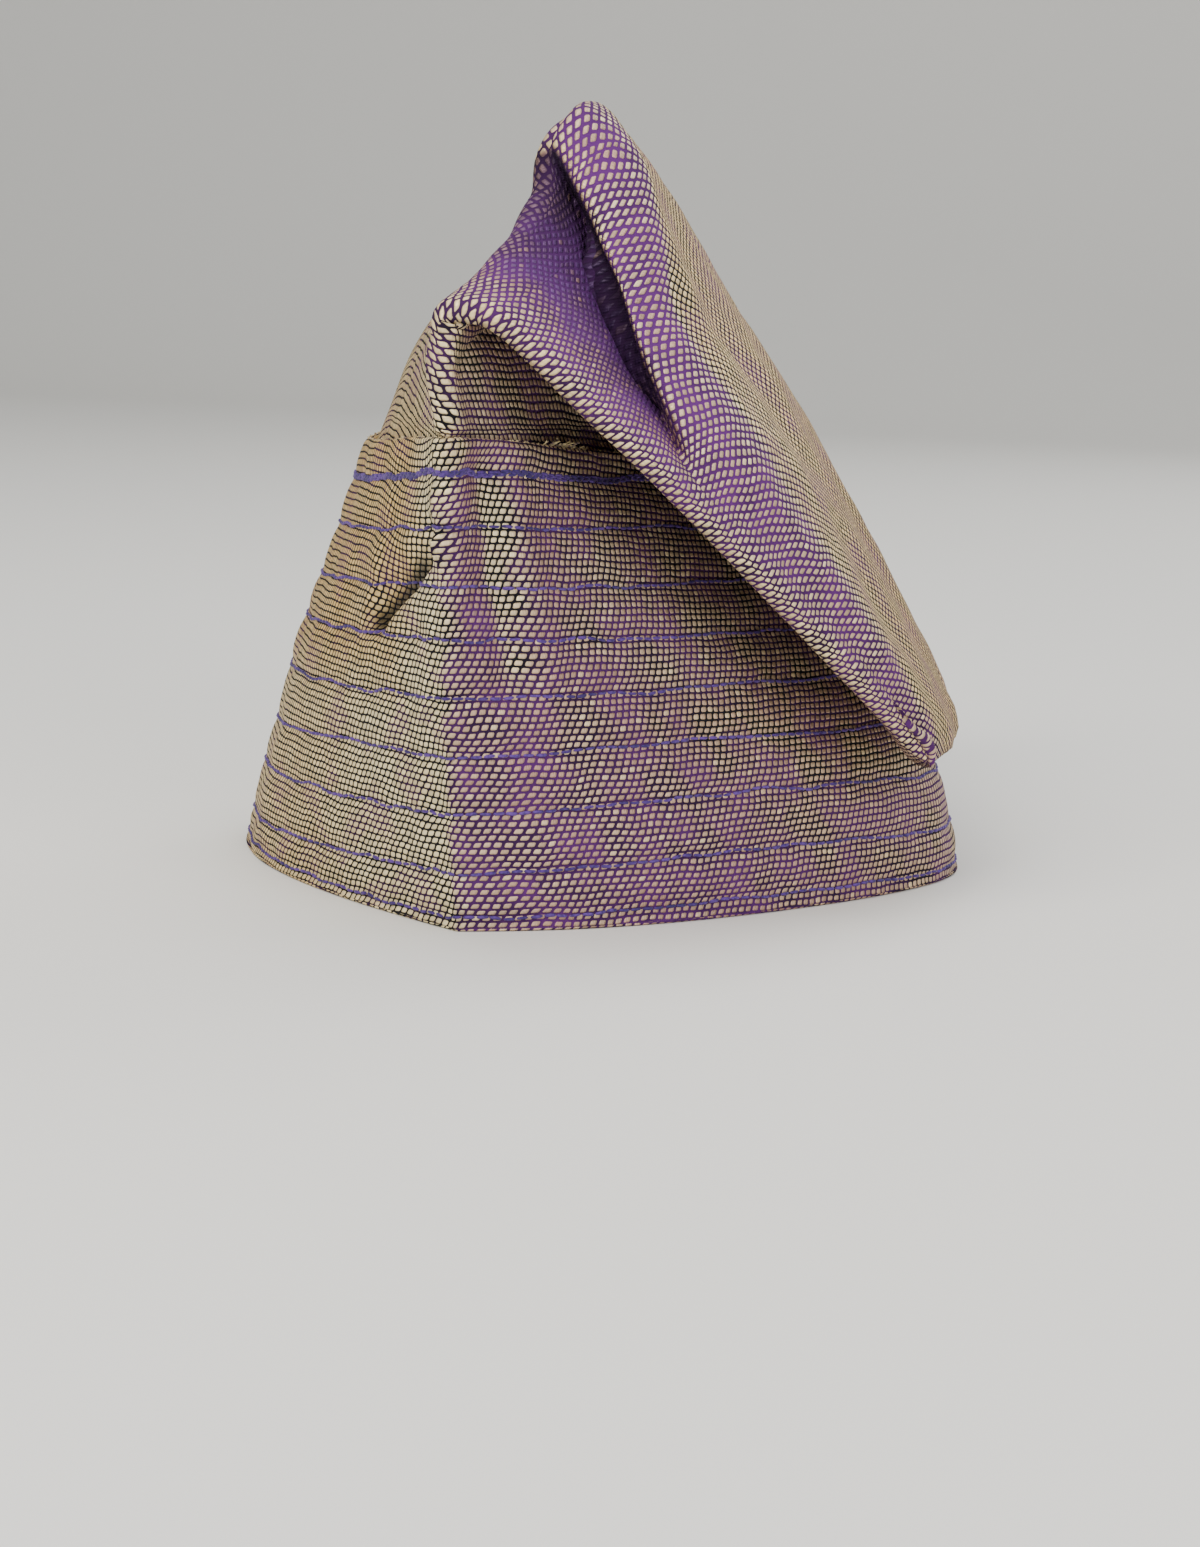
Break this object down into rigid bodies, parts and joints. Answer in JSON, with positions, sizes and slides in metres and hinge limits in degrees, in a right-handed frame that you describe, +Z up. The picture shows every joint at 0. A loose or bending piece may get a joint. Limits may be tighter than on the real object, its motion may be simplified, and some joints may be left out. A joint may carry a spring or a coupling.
{
  "type": "folded cloth cap",
  "caption": "Soft folded cloth cap: pointed oval tube with a raised ridge, a hollow flap folded down to one side, and a stitched cuff round the rim",
  "frame": {"origin": "centre of the cap's footprint box, on the plane that the rim rests on", "axes": "+X is the wearer's left, the side the flap hangs on; +Y is the back; +Z is up"},
  "size_m": [0.163, 0.2565, 0.16],
  "materials": {
    "crown_cloth": "shot plain weave, pale gold over violet, soft metallic sheen",
    "band_cloth": "the same shot cloth, quilted by level rows of violet machine stitching"
  },
  "bodies": {
    "root": {"crown": "crown_cloth", "band": "band_cloth"}
  },
  "joints": []
}
